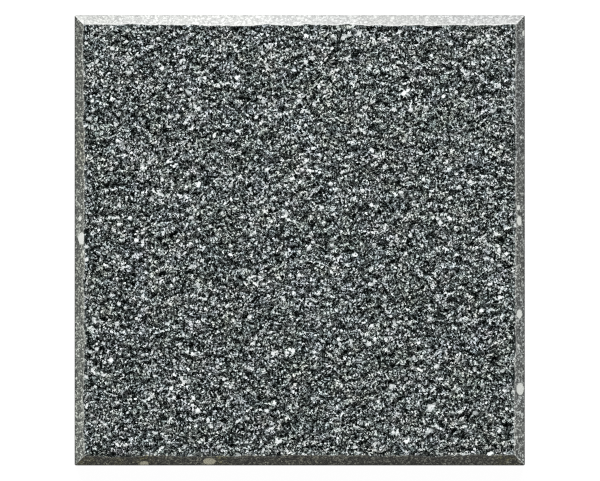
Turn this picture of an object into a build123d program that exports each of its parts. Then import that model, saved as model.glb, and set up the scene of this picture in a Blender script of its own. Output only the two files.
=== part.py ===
from build123d import *

import os

# Square porcelain paving tile with a wide chamfer round its upper edge.
#
# Frame: millimetres, +Z up, origin at the centre of the bedding face, so the
# tile lies flat on z = 0 with its tread face up. X and Y run along its edges.
#
# The tile is pressed and fired as one piece, so it is one solid. Its tread face
# is level here, at the height of the highest grains. The grain of the face, up
# to about 2.5 mm deep, is finish and is not cut into this solid.

# ---- driving dimensions, millimetres -------------------------------------
SIDE = 300.0            # nominal module, both ways
THICKNESS = 20.0        # over the highest grains of the tread face
CHAMFER_RUN = 7.5       # plan width of the bevel at the level of the highest grains
CHAMFER_DROP = 7.5      # height of the bevel, so it lies at 45 degrees
BED_ARRIS = 1.0         # small break round the bedding face
CORNER_ARRIS = 0.8      # width of the break down each upright corner, in plan

# ---- derived -------------------------------------------------------------
HALF = SIDE / 2.0
WALL_TOP = THICKNESS - CHAMFER_DROP     # the upright wall ends here
TREAD_SIDE = SIDE - 2.0 * CHAMFER_RUN   # level part of the tread face


def prism(z0, z1, side0, side1):
    """A four-sided frustum between two centred squares."""
    sections = [
        Plane.XY.offset(z0) * Rectangle(side0, side0),
        Plane.XY.offset(z1) * Rectangle(side1, side1),
    ]
    return loft(sections, ruled=True)


def corner_cutter(sx, sy):
    """A tall three-sided bar that takes the sharp edge off one upright corner."""
    reach = 5.0
    tip = CORNER_ARRIS
    # the break crosses the two walls at tip mm from the corner
    a = (sx * (HALF - tip), sy * (HALF + reach))
    b = (sx * (HALF + reach), sy * (HALF - tip))
    c = (sx * (HALF + reach), sy * (HALF + reach))
    p = (sx * (HALF - tip), sy * HALF)
    q = (sx * HALF, sy * (HALF - tip))
    outline = Polyline(p, a, c, b, q, close=True)
    return extrude(make_face(outline), amount=THICKNESS + 2.0).moved(
        Location((0, 0, -1.0))
    )


foot = prism(0.0, BED_ARRIS, SIDE - 2.0 * BED_ARRIS, SIDE)
wall = prism(BED_ARRIS, WALL_TOP, SIDE, SIDE)
bevel = prism(WALL_TOP, THICKNESS, SIDE, TREAD_SIDE)

tile = foot + wall + bevel
for sx in (-1, 1):
    for sy in (-1, 1):
        tile -= corner_cutter(sx, sy)

solids = tile.solids()
assert len(solids) == 1, f"expected one solid, got {len(solids)}"
paving_tile = solids[0].clean()
assert paving_tile.is_valid

os.makedirs("parts", exist_ok=True)
export_step(paving_tile, "parts/paving_tile.step")

box = paving_tile.bounding_box()
print("paving_tile", "size", box.size, "faces", len(paving_tile.faces()),
      "volume_mm3", round(paving_tile.volume, 1))
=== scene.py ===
import math

import bpy
import numpy as np
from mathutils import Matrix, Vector


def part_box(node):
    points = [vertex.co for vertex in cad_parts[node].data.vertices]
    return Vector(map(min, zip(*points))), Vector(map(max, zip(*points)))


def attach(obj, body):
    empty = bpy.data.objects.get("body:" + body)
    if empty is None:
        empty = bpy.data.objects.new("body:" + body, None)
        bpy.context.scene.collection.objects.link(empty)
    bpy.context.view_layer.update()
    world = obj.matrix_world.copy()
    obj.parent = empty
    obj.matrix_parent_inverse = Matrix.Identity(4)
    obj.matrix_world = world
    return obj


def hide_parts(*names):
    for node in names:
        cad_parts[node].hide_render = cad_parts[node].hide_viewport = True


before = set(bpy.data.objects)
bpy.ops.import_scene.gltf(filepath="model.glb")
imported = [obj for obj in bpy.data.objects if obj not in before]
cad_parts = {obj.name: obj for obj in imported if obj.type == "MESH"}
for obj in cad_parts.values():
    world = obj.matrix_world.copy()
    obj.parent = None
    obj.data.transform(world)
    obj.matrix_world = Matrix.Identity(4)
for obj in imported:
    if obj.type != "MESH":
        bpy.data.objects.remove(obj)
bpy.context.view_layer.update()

# Looks of a square porcelain paving tile: a rough granite-look tread face, smooth
# ground bevels with pale pebbles in the body, plain walls and back. Blender's
# lengths are in metres; the relief and the patterns are worked out in millimetres.

SEED = 20417
MM = 0.001

# ---- sizes of the solid, in mm ---------------------------------------------
box_lo, box_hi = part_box("paving_tile")
HALF = (box_hi[0] - box_lo[0]) / 2 / MM        # 150
TOP = box_hi[2] / MM                           # 20, level of the highest grains
CHAMFER = 7.5                                  # run and drop of the 45 degree bevel
WALL_TOP = TOP - CHAMFER
TREAD = HALF - CHAMFER                         # half side of the tread face
BED_ARRIS = 1.0
CORNER = 0.8                                   # break down each upright corner
ROUND = 0.4                                    # half width of the worn inner arris
WORN = 0.8                                     # half width of the worn outer arris
N = 292                                        # cells along a side of the relief


# ---- relief of the tread face ----------------------------------------------
def field(rng, size, ell):
    """A smooth random field of unit deviation; ell is its reach in cells."""
    noise = rng.standard_normal((size, size))
    k = np.fft.fftfreq(size) * 2 * np.pi
    kx, ky = np.meshgrid(k, k, indexing="ij")
    out = np.fft.ifft2(np.fft.fft2(noise) * np.exp(-(kx**2 + ky**2) * ell**2 / 4)).real
    return (out - out.mean()) / out.std()


def grains(rng, x, y, pitch, tilt, lift, crown):
    """Tilted, crowned grains packed against each other: the upper envelope of
    one small paraboloid a grain. x and y are in mm, and so is the result."""
    lo = -HALF - 4 * pitch
    count = int(math.ceil((2 * HALF + 8 * pitch) / pitch))
    gx, gy = np.meshgrid(np.arange(count), np.arange(count), indexing="ij")
    px = lo + (gx + 0.5 + rng.uniform(-0.48, 0.48, gx.shape)) * pitch
    py = lo + (gy + 0.5 + rng.uniform(-0.48, 0.48, gx.shape)) * pitch
    a = rng.uniform(-lift, lift, gx.shape)
    way = rng.uniform(0, 2 * np.pi, gx.shape)
    steep = tilt * np.sqrt(rng.uniform(0, 1, gx.shape))
    bx, by = steep * np.cos(way), steep * np.sin(way)
    q = crown * rng.uniform(0.7, 1.4, gx.shape) / pitch
    ci = np.floor((x - lo) / pitch).astype(int)
    cj = np.floor((y - lo) / pitch).astype(int)
    best = np.full(x.shape, -1e9)
    for di in (-2, -1, 0, 1, 2):
        for dj in (-2, -1, 0, 1, 2):
            i, j = ci + di, cj + dj
            dx, dy = x - px[i, j], y - py[i, j]
            h = a[i, j] + bx[i, j] * dx + by[i, j] * dy - q[i, j] * (dx * dx + dy * dy)
            best = np.maximum(best, h)
    return best - best.mean()


def relief(n, half):
    """Depth in mm below the level of the highest grains, on an n+1 square grid."""
    rng = np.random.default_rng(SEED)
    step = 2 * half / n
    line = np.linspace(-half, half, n + 1)
    x, y = np.meshgrid(line, line, indexing="ij")
    size = n + 61
    cut = slice(30, 30 + n + 1)

    def wave(ell):
        return field(rng, size, ell / step)[cut, cut]

    wx, wy = wave(2.2) * 0.5, wave(2.2) * 0.5
    h = 1.25 * grains(rng, x + wx, y + wy, 3.6, 0.40, 0.34, 0.40)
    h += 1.0 * grains(rng, x + wy, y - wx, 2.0, 0.46, 0.26, 0.50)
    h += 0.18 * wave(2.0) + 0.10 * wave(6.0) + 0.10 * wave(1.0)
    h = 1.25 * np.tanh(h / 1.25)
    deep = h.max() - h
    # along the rim the bevel's grinding has left a slightly raised arris, which
    # wanders a little in and out
    inside = half - np.maximum(np.abs(x), np.abs(y))
    w = np.exp(-((inside / 1.3) ** 2))
    mean = deep.mean()
    # the two side bevels are ground a little less than the front and back ones
    sides = np.clip((np.abs(x) - np.abs(y)) / 16.0 + 0.5, 0, 1)
    rim = mean - 0.42 + 0.45 * sides + 0.32 * (deep - mean) + 0.34 * wave(20.0) + 0.38 * wave(5.0)
    return deep * (1 - w) + w * np.clip(rim, 0.1, 2.0)


# ---- the mesh ----------------------------------------------------------------
def perimeter(n):
    """Grid indices round the rim, anticlockwise from the (-x, -y) corner."""
    out = [(i, 0) for i in range(n)]
    out += [(n, j) for j in range(n)]
    out += [(i, n) for i in range(n, 0, -1)]
    out += [(0, j) for j in range(n, 0, -1)]
    return np.array(out)


def square_ring(stops, reach, z, corner=None, corner_z=None):
    """A ring of len(stops)-1 points a side at |x| or |y| = reach. stops run from
    -1 to 1. corner is the x = y of the corner points, where that is cut back."""
    pts = []
    for side in range(4):
        for k in range(len(stops) - 1):
            along, out, zz = stops[k] * reach, reach, z
            if k == 0 and corner is not None:
                along, out, zz = -corner, corner, corner_z
            x, y = along, -out
            for _ in range(side):
                x, y = -y, x
            pts.append((x, y, zz))
    return np.array(pts)


def build_mesh():
    depth = relief(N, TREAD)
    start = TREAD - ROUND
    line = np.linspace(-start, start, N + 1)
    gx, gy = np.meshgrid(line, line, indexing="ij")
    # the bevel is a true plane, so the rim of the face stands further out where
    # the face is lower; that shift fades over the first cells inside the rim
    k = np.arange(N + 1)
    hi = np.clip(1 - (N - k) / 5.0, 0, 1) ** 2
    lo = hi[::-1]
    gx = gx + hi[:, None] * depth[-1][None, :] - lo[:, None] * depth[0][None, :]
    gy = gy + hi[None, :] * depth[:, -1][:, None] - lo[None, :] * depth[:, 0][:, None]
    gz = TOP - depth
    verts = [np.stack([gx, gy, gz], -1).reshape(-1, 3)]
    idx = np.arange((N + 1) ** 2).reshape(N + 1, N + 1)
    quads = np.stack([idx[:-1, :-1], idx[1:, :-1], idx[1:, 1:], idx[:-1, 1:]], -1).reshape(-1, 4)
    faces = quads.tolist()
    tread_faces = len(faces)
    count = (N + 1) ** 2

    def add(points):
        nonlocal count
        verts.append(points)
        ids = np.arange(count, count + len(points))
        count += len(points)
        return ids

    def band(upper, lower):
        """Quads between two rings of like count; upper is the inner or higher."""
        size = len(upper)
        for a in range(size):
            b = (a + 1) % size
            faces.append([int(upper[b]), int(upper[a]), int(lower[a]), int(lower[b])])

    rim = perimeter(N)
    ri, rj = rim[:, 0], rim[:, 1]
    ox = np.where(ri == N, 1.0, np.where(ri == 0, -1.0, 0.0))
    oy = np.where(rj == N, 1.0, np.where(rj == 0, -1.0, 0.0))
    bx, by, bz = gx[ri, rj], gy[ri, rj], gz[ri, rj]

    def from_rim(out, up):
        """Points out mm outward of the arris line and up mm above it."""
        return np.stack([bx + ox * (ROUND + out), by + oy * (ROUND + out), bz + up], -1)

    sag = 0.199 * ROUND
    t = ROUND * math.sqrt(0.5)
    r0 = idx[ri, rj]
    r1 = add(from_rim(-0.383 * sag, -0.924 * sag))
    r2 = add(from_rim(t, -t))
    r3 = add(from_rim(t + 0.2, -t - 0.2))
    band(r0, r1)
    band(r1, r2)
    band(r2, r3)

    # coarser rings for the flat parts below: every fourth point of the rim. The
    # bevel turns into the wall over a worn outer arris, between two tangent lines
    m = N // 4
    stops = np.concatenate([[-1.0], np.linspace(-1 + CORNER / HALF, 1 - CORNER / HALF, m - 1), [1.0]])
    cut = HALF - CORNER / 2
    turn = WORN / math.tan(math.radians(22.5))
    low = WORN * math.sqrt(0.5)
    rings = [
        add(square_ring(stops, HALF - low - 0.25, WALL_TOP + low + 0.25)),
        add(square_ring(stops, HALF - low, WALL_TOP + low)),
    ]
    for deg, corner_lift in ((30, 0.19), (15, 0.06), (0, 0.0)):
        a = math.radians(deg)
        z = WALL_TOP - WORN + turn * math.sin(a)
        rings.append(add(square_ring(stops, HALF - turn * (1 - math.cos(a)), z, cut, z + corner_lift)))
    rings += [
        add(square_ring(stops, HALF, WALL_TOP - WORN - 0.3, cut, WALL_TOP - WORN - 0.3)),
        add(square_ring(stops, HALF, BED_ARRIS, cut, BED_ARRIS - CORNER / 2)),
        add(square_ring(stops, HALF - BED_ARRIS, 0.0)),
    ]
    # four fine steps of the rim to one coarse step
    for a in range(4 * m):
        b = (a + 1) % (4 * m)
        fine = [int(r3[(4 * a + q) % (4 * N)]) for q in range(5)]
        la, lb = int(rings[0][a]), int(rings[0][b])
        faces.append([fine[1], fine[0], la])
        faces.append([fine[2], fine[1], la])
        faces.append([fine[2], la, lb])
        faces.append([fine[3], fine[2], lb])
        faces.append([fine[4], fine[3], lb])
    bevel_faces = len(faces)
    for up, down in zip(rings, rings[1:]):
        band(up, down)
    wall_faces = len(faces)

    # the bedding face, a plain grid that shares the last ring
    line = stops * (HALF - BED_ARRIS)
    last = rings[-1]
    grid = np.empty((m + 1, m + 1), int)
    for q in range(m):
        grid[q, 0] = last[q]
        grid[m, q] = last[m + q]
        grid[m - q, m] = last[2 * m + q]
        grid[0, m - q] = last[3 * m + q]
    px, py = np.meshgrid(line[1:-1], line[1:-1], indexing="ij")
    grid[1:-1, 1:-1] = add(np.stack([px, py, np.zeros_like(px)], -1).reshape(-1, 3)).reshape(m - 1, m - 1)
    for i in range(m):
        for j in range(m):
            faces.append([int(grid[i, j]), int(grid[i, j + 1]), int(grid[i + 1, j + 1]), int(grid[i + 1, j])])

    co = np.concatenate(verts)
    me = bpy.data.meshes.new("granite_tile")
    me.from_pydata((co * MM).tolist(), [], faces)
    me.update()
    slot = np.ones(len(faces), np.int32)
    slot[:tread_faces] = 0
    me.polygons.foreach_set("material_index", slot)
    me.polygons.foreach_set("use_smooth", np.ones(len(faces), bool))

    # the bedding arris, the mitres of the bevel and the corner breaks stay crisp
    crisp = {frozenset((int(ring[a]), int(ring[(a + 1) % len(ring)])))
             for ring in rings[-2:] for a in range(len(ring))}
    for side in range(4):
        mitre = [int(ring[side * N]) for ring in (r1, r2, r3)] + [int(ring[side * m]) for ring in rings[:3]]
        crisp |= {frozenset(pair) for pair in zip(mitre, mitre[1:])}
        for q in (side * m + 1, side * m - 1):
            edge = [int(ring[q % (4 * m)]) for ring in rings[2:]]
            crisp |= {frozenset(pair) for pair in zip(edge, edge[1:])}
    sharp = me.attributes.new("sharp_edge", "BOOLEAN", "EDGE")
    ends = np.empty(2 * len(me.edges), np.int32)
    me.edges.foreach_get("vertices", ends)
    sharp.data.foreach_set("value", np.array([frozenset(e) in crisp for e in ends.reshape(-1, 2).tolist()]))

    # how proud a point of the face stands of its neighbourhood, the worn arris
    # and the crease just inside it
    k = np.fft.fftfreq(N + 1) * 2 * np.pi
    kx, ky = np.meshgrid(k, k, indexing="ij")
    smooth = np.fft.ifft2(np.fft.fft2(depth) * np.exp(-(kx**2 + ky**2) * 3.0**2 / 2)).real
    proud = np.zeros(len(co))
    proud[: (N + 1) ** 2] = ((smooth - depth) / (smooth - depth).std()).reshape(-1)
    arris = np.zeros(len(co))
    for ring, worn in ((r0, 0.2), (r1, 1.0), (r2, 0.5)):
        arris[ring] = worn
    steps = np.minimum(np.arange(N + 1), N - np.arange(N + 1))
    steps = np.minimum(steps[:, None], steps[None, :])
    # the crease: the cells just inside the arris, which the tread's colour darkens as painted shade
    crease = np.zeros(len(co))
    crease[: (N + 1) ** 2] = np.select([steps == 0, steps == 1, steps == 2], [0.3, 1.0, 0.5], 0.0).reshape(-1)
    for name, values in (("proud", proud), ("arris", arris), ("crease", crease)):
        att = me.attributes.new(name, "FLOAT", "POINT")
        att.data.foreach_set("value", values.astype(np.float32))

    # one flat map: the view from above, the four walls below it, the bed beside
    uv = me.uv_layers.new(name="OFBake")
    loops = np.empty(len(me.loops), np.int32)
    me.loops.foreach_get("vertex_index", loops)
    p = co[loops]
    starts = np.empty(len(faces), np.int32)
    totals = np.empty(len(faces), np.int32)
    me.polygons.foreach_get("loop_start", starts)
    me.polygons.foreach_get("loop_total", totals)
    face_of = np.repeat(np.arange(len(faces)), totals)
    px1 = 1.0 / 1024
    big = 852 * px1
    flat = np.empty((len(loops), 2))
    above = face_of < bevel_faces
    flat[:, 0] = (p[:, 0] / (2 * HALF) + 0.5) * big + 4 * px1
    flat[:, 1] = (p[:, 1] / (2 * HALF) + 0.5) * big + 1024 * px1 - big - 4 * px1
    centre = np.zeros((len(faces), 3))
    np.add.at(centre, face_of, p)
    centre /= totals[:, None]
    side_of = np.zeros(len(faces), int)
    ang = np.degrees(np.arctan2(centre[:, 1], centre[:, 0]))
    side_of[(ang >= -135) & (ang < -45)] = 0
    side_of[(ang >= -45) & (ang < 45)] = 1
    side_of[(ang >= 45) & (ang < 135)] = 2
    side_of[(ang >= 135) | (ang < -135)] = 3
    wall = (face_of >= bevel_faces) & (face_of < wall_faces)
    sd = side_of[face_of]
    along = np.where(sd == 0, p[:, 0], np.where(sd == 1, p[:, 1], np.where(sd == 2, -p[:, 0], -p[:, 1])))
    outward = np.where(sd == 0, -p[:, 1], np.where(sd == 1, p[:, 0], np.where(sd == 2, p[:, 1], -p[:, 0])))
    down = np.clip(WALL_TOP + low + 0.25 - p[:, 2], 0, None) + np.clip(HALF - outward, 0, None) * (p[:, 2] < BED_ARRIS)
    flat[wall, 0] = ((along / (2 * HALF) + 0.5) * big + 4 * px1)[wall]
    flat[wall, 1] = ((3 - sd) * 40 * px1 + 4 * px1 + (16.0 - down) / 16.0 * 34 * px1)[wall]
    bed = face_of >= wall_faces
    flat[bed, 0] = ((p[:, 0] / (2 * HALF) + 0.5) * 152 * px1 + big + 12 * px1)[bed]
    flat[bed, 1] = ((p[:, 1] / (2 * HALF) + 0.5) * 1010 * px1 + 7 * px1)[bed]
    uv.data.foreach_set("uv", flat.reshape(-1).astype(np.float32))
    me.validate()
    return me, depth


tile_mesh, depth = build_mesh()
tile = bpy.data.objects.new("granite_tile", tile_mesh)
bpy.context.scene.collection.objects.link(tile)
print("RELIEF mean %.3f max %.3f std %.3f" % (depth.mean(), depth.max(), depth.std()))
print("TRIS", sum(len(p.vertices) - 2 for p in tile_mesh.polygons))


# ---- materials -----------------------------------------------------------------
class Nodes:
    """Small helpers to lay down shader nodes."""

    def __init__(self, name):
        self.mat = bpy.data.materials.new(name)
        self.mat.use_nodes = True
        self.tree = self.mat.node_tree
        self.shader = self.tree.nodes["Principled BSDF"]

    def put(self, socket, value):
        if isinstance(value, bpy.types.NodeSocket):
            self.tree.links.new(value, socket)
        else:
            socket.default_value = value

    def add(self, kind, **props):
        node = self.tree.nodes.new("ShaderNode" + kind)
        for k, v in props.items():
            setattr(node, k, v)
        return node

    def math(self, op, a, b=0.0, clamp=False):
        node = self.add("Math", operation=op, use_clamp=clamp)
        self.put(node.inputs[0], a)
        if len(node.inputs) > 1:
            self.put(node.inputs[1], b)
        return node.outputs[0]

    def vmath(self, op, a, b=(0, 0, 0), scale=None):
        node = self.add("VectorMath", operation=op)
        self.put(node.inputs[0], a)
        if op not in ("LENGTH", "SCALE"):
            self.put(node.inputs[1], b)
        if scale is not None:
            self.put(node.inputs["Scale"], scale)
        return node.outputs["Value"] if op in ("LENGTH", "DOT_PRODUCT", "DISTANCE") else node.outputs["Vector"]

    def span(self, x, a, b, c=0.0, d=1.0, smooth=False):
        """x from a..b to c..d, held at the ends."""
        node = self.add("MapRange", clamp=True, interpolation_type="SMOOTHSTEP" if smooth else "LINEAR")
        for k, v in zip(("Value", "From Min", "From Max", "To Min", "To Max"), (x, a, b, c, d)):
            self.put(node.inputs[k], v)
        return node.outputs[0]

    def mix(self, f, a, b, mode="MIX"):
        node = self.add("Mix", data_type="RGBA", blend_type=mode, clamp_factor=True)
        self.put(node.inputs[0], f)
        for socket, v in ((node.inputs[6], a), (node.inputs[7], b)):
            self.put(socket, v if isinstance(v, bpy.types.NodeSocket) else (*v, 1.0))
        return node.outputs[2]

    def ramp(self, x, stops, interp="LINEAR"):
        node = self.add("ValToRGB")
        self.put(node.inputs[0], x)
        r = node.color_ramp
        r.interpolation = interp
        while len(r.elements) < len(stops):
            r.elements.new(0.5)
        for e, (pos, rgb) in zip(r.elements, stops):
            e.position = pos
            e.color = (*rgb, 1.0)
        return node.outputs["Color"]

    def noise(self, vec, scale, detail=2.0, rough=0.5, colour=False):
        node = self.add("TexNoise", noise_dimensions="3D", normalize=True)
        for k, v in (("Vector", vec), ("Scale", scale), ("Detail", detail), ("Roughness", rough)):
            self.put(node.inputs[k], v)
        return node.outputs["Color" if colour else "Fac"]

    def cells(self, vec, scale, feature="F1", jitter=1.0):
        node = self.add("TexVoronoi", voronoi_dimensions="3D", feature=feature, distance="EUCLIDEAN")
        for k, v in (("Vector", vec), ("Scale", scale), ("Randomness", jitter)):
            self.put(node.inputs[k], v)
        return node

    def split(self, colour):
        node = self.add("SeparateColor")
        self.put(node.inputs[0], colour)
        return node.outputs

    def attribute(self, name):
        node = self.add("Attribute", attribute_name=name, attribute_type="GEOMETRY")
        return node.outputs["Fac"]

    def bump(self, height, distance, strength, normal=None):
        node = self.add("Bump")
        self.put(node.inputs["Height"], height)
        node.inputs["Distance"].default_value = distance
        node.inputs["Strength"].default_value = strength
        if normal is not None:
            self.put(node.inputs["Normal"], normal)
        return node.outputs["Normal"]

    def place(self):
        """Object coordinates in millimetres."""
        return self.vmath("SCALE", self.add("TexCoord").outputs["Object"], scale=1000.0)


def tint(level):
    """The stone's cold grey at a display level of 0 to 255, as a linear colour."""
    def lin(v):
        v = max(v, 0.6) / 255
        return v / 12.92 if v <= 0.04045 else ((v + 0.055) / 1.055) ** 2.4
    cold = 1.45 - 0.7 * min(level, 200) / 200
    return lin(level - 4.9 * cold), lin(level + 1.4 * cold), lin(level + 0.3 * cold)


def tread_material():
    n = Nodes("granite_tread")
    at = n.place()
    wander = n.vmath("SUBTRACT", n.noise(at, 0.9, 1.0, 0.5, colour=True), (0.5, 0.5, 0.5))
    at = n.vmath("ADD", at, n.vmath("SCALE", wander, scale=1.5))

    # long crystals, lying in a direction of their own in each clump of a few mm
    clump = n.split(n.cells(at, 0.3).outputs["Color"])
    turned = n.add("VectorRotate", rotation_type="Z_AXIS")
    n.put(turned.inputs["Vector"], at)
    n.put(turned.inputs["Angle"], n.math("MULTIPLY", clump[0], math.pi))
    crystals = n.cells(n.vmath("MULTIPLY", turned.outputs["Vector"], (0.68, 1.4, 1.0)), 1.1, jitter=0.9)
    c1 = n.split(crystals.outputs["Color"])
    flakes = n.cells(at, 2.2)
    c2 = n.split(flakes.outputs["Color"])
    value = n.math("ADD", n.math("MULTIPLY", c1[0], 0.70), n.math("MULTIPLY", c2[0], 0.30))
    # paler on proud points, darker in hollows: painted shade in the hollows, with wear on the peaks
    proud = n.attribute("proud")
    value = n.math("ADD", value, n.math("MULTIPLY", proud, 0.02))
    # paler and darker places, some centimetres across
    value = n.math("ADD", value, n.span(n.noise(at, 0.07, 3.0, 0.7), 0.25, 0.75, -0.032, 0.028))
    # each crystal is a little darker towards its border
    value = n.math("ADD", value, n.span(crystals.outputs["Distance"], 0.2, 0.8, 0.05, -0.07))
    stone = n.ramp(value, [
        (0.00, tint(1)), (0.37, tint(2)), (0.491, tint(28)), (0.601, tint(82)),
        (0.706, tint(148)), (0.80, tint(196)), (0.89, tint(226)), (1.0, tint(254)),
    ])
    # slight drift of hue from place to place
    hue = n.vmath("SUBTRACT", n.noise(at, 0.07, 5.0, 0.8, colour=True), (0.5, 0.5, 0.5))
    hue = n.vmath("ADD", n.vmath("MULTIPLY", hue, (0.36, 0.0, 0.46)), (0.99, 1.0, 1.0))
    stone = n.mix(1.0, stone, hue, "MULTIPLY")
    # painted shadows as dark flecks, longer across than up, and larger pale feldspars among the small grains
    shadow_flecks = n.cells(n.vmath("MULTIPLY", at, (0.6, 1.1, 1.0)), 0.6)
    c4 = n.split(shadow_flecks.outputs["Color"])
    stone = n.mix(n.math("MULTIPLY", n.math("GREATER_THAN", c4[0], 0.975), 0.85), stone, tint(10))
    angular = n.cells(at, 0.46)
    c5 = n.split(angular.outputs["Color"])
    pale = n.mix(c5[1], tint(160), tint(214))
    stone = n.mix(n.math("MULTIPLY", n.math("GREATER_THAN", c5[0], 0.978), 0.9), stone, pale)
    large = n.cells(at, 0.24)
    c3 = n.split(large.outputs["Color"])
    core = n.math("LESS_THAN", large.outputs["Distance"], n.span(c3[1], 0, 1, 0.20, 0.34))
    pick = n.math("MULTIPLY", core, n.math("GREATER_THAN", c3[0], 0.94))
    stone = n.mix(pick, stone, tint(206))
    # worn pale along the arris, and painted shade in the crease just inside it
    stone = n.mix(n.math("MULTIPLY", n.attribute("crease"), 0.22), stone, tint(20))
    stone = n.mix(n.math("MULTIPLY", n.attribute("arris"), 0.3), stone, tint(190))
    n.put(n.shader.inputs["Base Color"], stone)
    n.put(n.shader.inputs["Roughness"], n.span(c1[1], 0, 1, 0.6, 0.9))
    n.shader.inputs["Specular IOR Level"].default_value = 0.04
    height = n.math("ADD", n.math("MULTIPLY", c1[2], 0.6), n.math("MULTIPLY", n.noise(at, 0.8, 2.0, 0.6), 1.2))
    n.put(n.shader.inputs["Normal"], n.bump(height, 0.00035, 0.8))
    return n.mat


# pebbles that the bevels cut through: x, y and z of the middle, half sizes, in mm
def on_bevel(x, y):
    return x, y, WALL_TOP + (HALF - max(abs(x), abs(y)))


# the half sizes across a bevel are 1.4 times what they look like from above
PEBBLES = [
    (on_bevel(-144.9, 1.3), (3.4, 4.0, 3.4)),
    (on_bevel(-146.0, 14.7), (1.4, 1.6, 1.4)),
    (on_bevel(146.6, -98.6), (3.7, 4.1, 3.7)),
    (on_bevel(145.9, 13.1), (2.2, 3.2, 2.2)),
    (on_bevel(145.3, 21.9), (1.7, 1.8, 1.7)),
    (on_bevel(146.0, -48.8), (2.7, 3.0, 2.7)),
    (on_bevel(145.4, -69.8), (1.1, 1.0, 1.1)),
    (on_bevel(147.2, 68.5), (1.2, 0.9, 1.2)),
    (on_bevel(149.4, 138.0), (1.8, 2.0, 1.8)),
    (on_bevel(-60.0, -147.0), (4.3, 3.3, 3.3)),
    (on_bevel(-103.4, -148.8), (2.9, 2.9, 2.9)),
]


# ochre patches along the front bevel: x of the middle, half length in mm, strength
STAINS = [(-143.0, 11.0, 1.0), (-103.0, 9.0, 1.0), (-121.0, 9.0, 0.5), (-53.0, 9.0, 0.8), (137.0, 13.0, 0.8)]


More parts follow.
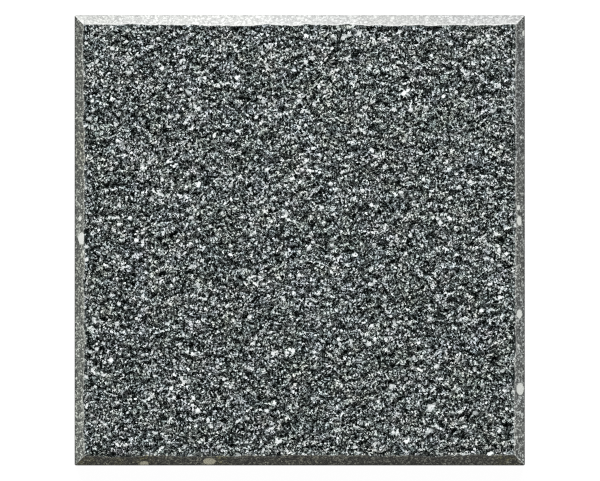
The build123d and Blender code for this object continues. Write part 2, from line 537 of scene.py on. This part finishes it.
def body_material():
    n = Nodes("porcelain_body")
    here = n.place()
    axis = n.add("SeparateXYZ")
    n.put(axis.inputs[0], here)
    sway = n.vmath("SUBTRACT", n.noise(here, 0.45, 2.0, 0.5, colour=True), (0.5, 0.5, 0.5))
    at = n.vmath("ADD", here, n.vmath("SCALE", sway, scale=0.9))

    # sand in a grey matrix
    sand = n.cells(at, 1.1, jitter=0.85)
    s1 = n.split(sand.outputs["Color"])
    fines = n.noise(here, 1.6, 3.0, 0.6)
    level = n.math("ADD", n.math("MULTIPLY", s1[0], 0.85), n.math("MULTIPLY", fines, 0.15))
    matrix = n.ramp(level, [
        (0.00, (0.036, 0.038, 0.037)), (0.40, (0.072, 0.076, 0.073)), (0.60, (0.128, 0.134, 0.129)),
        (0.74, (0.250, 0.260, 0.250)), (0.86, (0.420, 0.435, 0.422)), (1.0, (0.60, 0.62, 0.605)),
    ])
    # more olive on the left, colder on the right
    matrix = n.mix(n.span(axis.outputs["X"], -140.0, 140.0), n.mix(1.0, matrix, (1.04, 1.058, 0.995), "MULTIPLY"),
                   n.mix(1.0, matrix, (0.97, 0.992, 1.01), "MULTIPLY"))
    # slow drift from cold to olive, and a little paler towards the front
    drift = n.noise(here, 0.022, 2.0, 0.5)
    matrix = n.mix(n.span(drift, 0.45, 0.68), matrix, n.mix(1.0, matrix, (1.02, 1.0, 0.95), "MULTIPLY"))
    matrix = n.mix(n.span(axis.outputs["Y"], -140.0, 140.0), matrix, n.mix(1.0, matrix, (0.71, 0.71, 0.71), "MULTIPLY"))
    matrix = n.mix(n.span(axis.outputs["Y"], -145.0, -50.0, 1.0, 0.0), matrix, n.mix(1.0, matrix, (1.13, 1.13, 1.13), "MULTIPLY"))
    # the back bevel is evened towards a mid grey: painted sheen, which washes out its contrast
    apart = n.math("SUBTRACT", axis.outputs["Y"], n.math("ABSOLUTE", axis.outputs["X"]))
    back = n.math("MULTIPLY", n.span(apart, -0.3, 0.3), n.span(axis.outputs["Z"], 2.0, 9.0))
    matrix = n.mix(n.math("MULTIPLY", back, 0.28), matrix, (0.122, 0.126, 0.123))
    # and a painted sheen on it: paler left of its middle than at its right end
    sheen_left = n.span(n.math("ABSOLUTE", n.math("ADD", axis.outputs["X"], 45.0)), 0.0, 90.0, 1.0, 0.0)
    matrix = n.mix(n.math("MULTIPLY", back, sheen_left), matrix, n.mix(1.0, matrix, (1.3, 1.29, 1.3), "MULTIPLY"))
    # painted sheen fading towards the right end
    sheen_fade = n.span(axis.outputs["X"], -10.0, 140.0)
    matrix = n.mix(n.math("MULTIPLY", back, sheen_fade), matrix, n.mix(1.0, matrix, (0.74, 0.735, 0.74), "MULTIPLY"))
    # the front bevel is browner and darker: a thin brown film with painted shade, and ochre patches by its ends and
    # pebbles
    beyond = n.math("ADD", axis.outputs["Y"], n.math("ABSOLUTE", axis.outputs["X"]))
    front = n.math("MULTIPLY", n.span(beyond, -0.3, 0.3, 1.0, 0.0), n.span(axis.outputs["Z"], 2.0, 9.0))
    matrix = n.mix(front, matrix, n.mix(1.0, matrix, (0.94, 0.90, 0.79), "MULTIPLY"))
    # the strong darkening of its matrix is partly brown film, partly painted shade
    film_and_shade = n.math("MULTIPLY", front, n.span(n.noise(here, 0.05, 2.0, 0.5), 0.35, 0.65, 0.75, 1.0))
    film_and_shade = n.math("MULTIPLY", film_and_shade, n.span(level, 0.42, 0.84, 1.0, 0.05))
    matrix = n.mix(film_and_shade, matrix, n.mix(1.0, matrix, (0.29, 0.27, 0.21), "MULTIPLY"))
    ochre = None
    for x, reach, much in STAINS:
        s = n.span(n.math("ABSOLUTE", n.math("SUBTRACT", axis.outputs["X"], x)), 0.0, reach, much, 0.0, smooth=True)
        ochre = s if ochre is None else n.math("MAXIMUM", ochre, s)
    ochre = n.math("MULTIPLY", n.math("MULTIPLY", ochre, front), n.span(n.noise(here, 0.35, 2.0, 0.5), 0.36, 0.58))
    matrix = n.mix(ochre, matrix, n.mix(n.span(level, 0.45, 0.85, 0.25, 0.0), n.mix(1.0, matrix, (1.05, 0.99, 0.50), "MULTIPLY"),
                                        (0.125, 0.105, 0.035)))

    # pebbles
    near = None
    for centre, half in PEBBLES:
        d = n.vmath("LENGTH", n.vmath("DIVIDE", n.vmath("SUBTRACT", at, centre), half))
        near = d if near is None else n.math("MINIMUM", near, d)
    stray = n.cells(at, 1 / 24.0)
    sc = n.split(stray.outputs["Color"])
    size = n.span(sc[0], 0.45, 1.0, 0.0, 0.17)
    lost = n.math("DIVIDE", stray.outputs["Distance"], n.math("MAXIMUM", size, 0.001))
    below = n.span(axis.outputs["Z"], WALL_TOP - 0.4, WALL_TOP - 0.1, 0.0, 9.0)
    near = n.math("MINIMUM", near, n.math("ADD", lost, below))
    inside = n.span(near, 0.92, 1.06, 1.0, 0.0, smooth=True)
    rim = n.math("MULTIPLY", n.span(near, 0.98, 1.25, 1.0, 0.0), 0.30)
    pebble = n.ramp(n.noise(here, 0.9, 3.0, 0.6), [
        (0.25, (0.475, 0.495, 0.460)), (0.5, (0.515, 0.535, 0.50)), (0.75, (0.565, 0.585, 0.552))])
    pebble = n.mix(front, pebble, n.mix(1.0, pebble, (1.42, 1.33, 1.12), "MULTIPLY"))
    matrix = n.mix(rim, matrix, n.mix(1.0, matrix, (0.5, 0.5, 0.5), "MULTIPLY"))
    colour = n.mix(inside, matrix, pebble)
    worn = n.span(n.noise(here, 0.7, 2.0, 0.5), 0.3, 0.6, 0.12, 0.5)
    arris = n.math("MULTIPLY", n.attribute("arris"), worn)
    # the mitres of the bevel are worn pale too
    across = n.math("SUBTRACT", n.math("ABSOLUTE", axis.outputs["X"]), n.math("ABSOLUTE", axis.outputs["Y"]))
    mitre = n.span(n.math("ABSOLUTE", across), 0.2, 0.75, 1.0, 0.0)
    mitre = n.math("MULTIPLY", mitre, n.span(axis.outputs["Z"], WALL_TOP + 0.3, WALL_TOP + 1.2))
    arris = n.math("MAXIMUM", arris, n.math("MULTIPLY", mitre, worn))
    colour = n.mix(arris, colour, (0.55, 0.56, 0.54))
    # painted shade along the foot of the bevel, where it turns down into the wall; a fifth as strong down the wall, and
    # fainter on the back, which faces the light
    foot = n.span(axis.outputs["Z"], WALL_TOP + 0.3, WALL_TOP + 1.2, 1.0, 0.0)
    foot = n.math("MULTIPLY", foot, n.span(axis.outputs["Z"], WALL_TOP - 2.0, WALL_TOP - 0.5, 0.2, 1.0))
    foot = n.math("MULTIPLY", foot, n.span(back, 0.0, 1.0, 1.0, 0.25))
    colour = n.mix(foot, colour, n.mix(1.0, colour, (0.12, 0.12, 0.11), "MULTIPLY"))
    n.put(n.shader.inputs["Base Color"], colour)
    n.put(n.shader.inputs["Roughness"], n.span(n.noise(here, 0.8, 3.0, 0.6), 0.3, 0.7, 0.36, 0.50))
    n.shader.inputs["Specular IOR Level"].default_value = 0.38
    pits = n.math("ADD", n.math("MULTIPLY", s1[1], 0.5), n.math("MULTIPLY", n.noise(here, 0.75, 2.0, 0.6), 1.0))
    pits = n.math("MULTIPLY", pits, n.span(inside, 0.0, 1.0, 1.0, 0.35))
    n.put(n.shader.inputs["Normal"], n.bump(pits, 0.0002, 0.8))
    return n.mat


tile_mesh.materials.append(tread_material())
tile_mesh.materials.append(body_material())


# ---- floor, light and camera -----------------------------------------------------
def floor():
    me = bpy.data.meshes.new("floor")
    s = 60.0
    me.from_pydata([(-s, -s, 0), (s, -s, 0), (s, s, 0), (-s, s, 0)], [], [(0, 1, 2, 3)])
    o = bpy.data.objects.new("floor", me)
    bpy.context.scene.collection.objects.link(o)
    n = Nodes("floor")
    n.shader.inputs["Base Color"].default_value = (0.18, 0.18, 0.18, 1)
    n.shader.inputs["Roughness"].default_value = 1.0
    n.shader.inputs["Specular IOR Level"].default_value = 0.0
    n.shader.inputs["Emission Color"].default_value = (1, 1, 1, 1)
    n.shader.inputs["Emission Strength"].default_value = 0.99
    n.mat.cycles.emission_sampling = "NONE"
    me.materials.append(n.mat)


def area(name, place, size, power, colour=(1, 1, 1)):
    data = bpy.data.lights.new(name, "AREA")
    data.shape = "RECTANGLE"
    data.size, data.size_y = size
    data.energy = power
    data.color = colour
    o = bpy.data.objects.new(name, data)
    bpy.context.scene.collection.objects.link(o)
    o.location = place
    o.rotation_mode = "QUATERNION"
    o.rotation_quaternion = (Vector((0, 0, 0.01)) - Vector(place)).to_track_quat("-Z", "Y")
    o.visible_camera = False
    return o


floor()
elevation = math.radians(30)
away = 6.0
area("key", (-0.35, away * math.cos(elevation), away * math.sin(elevation)), (4.8, 1.2), 885)
area("low", (0, away, 0.55), (5.0, 1.0), 500)
area("fill", (0, -away, 3.0), (5.0, 2.0), 56)

world = bpy.data.worlds.new("world")
bpy.context.scene.world = world
world.use_nodes = True
world.node_tree.nodes["Background"].inputs["Color"].default_value = (1, 1, 1, 1)
world.node_tree.nodes["Background"].inputs["Strength"].default_value = 0.045
world.cycles.sampling_method = "NONE"

cam_data = bpy.data.cameras.new("camera")
cam_data.lens = 240.0
cam_data.sensor_width = 36.0
cam_data.clip_end = 200
cam = bpy.data.objects.new("camera", cam_data)
bpy.context.scene.collection.objects.link(cam)
# 300 mm of outline, at the foot of the bevel, covers 450.7 of 600 pixels
reach = (2 * HALF * MM) * 600 / 450.7 * cam_data.lens / cam_data.sensor_width
cam.location = (0.0002, -0.0001, WALL_TOP * MM + reach)
cam.rotation_euler = (0, 0, 0)
scene = bpy.context.scene
scene.camera = cam
scene.cycles.use_denoising = False

# a gentle photographic tone curve, with a toe and a soft shoulder
look = scene.view_settings
look.view_transform = "Standard"
look.use_curve_mapping = True
curves = look.curve_mapping
WHITE = 1.1
curves.white_level = (WHITE, WHITE, WHITE)
curve = curves.curves[3]
tone = [(0.0, 0.0), (0.02, 0.015), (0.05, 0.041), (0.1, 0.089), (0.15, 0.144), (0.2, 0.205), (0.3, 0.345),
        (0.4, 0.485), (0.5, 0.605), (0.6, 0.705), (0.7, 0.79), (0.8, 0.86), (0.9, 0.922), (1.0, 0.982), (WHITE, 1.0)]
while len(curve.points) < len(tone):
    curve.points.new(0.5, 0.5)
for point, (x, y) in zip(curve.points, tone):
    point.location = (x / WHITE, y)
curves.update()

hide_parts("paving_tile")
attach(tile, "root")
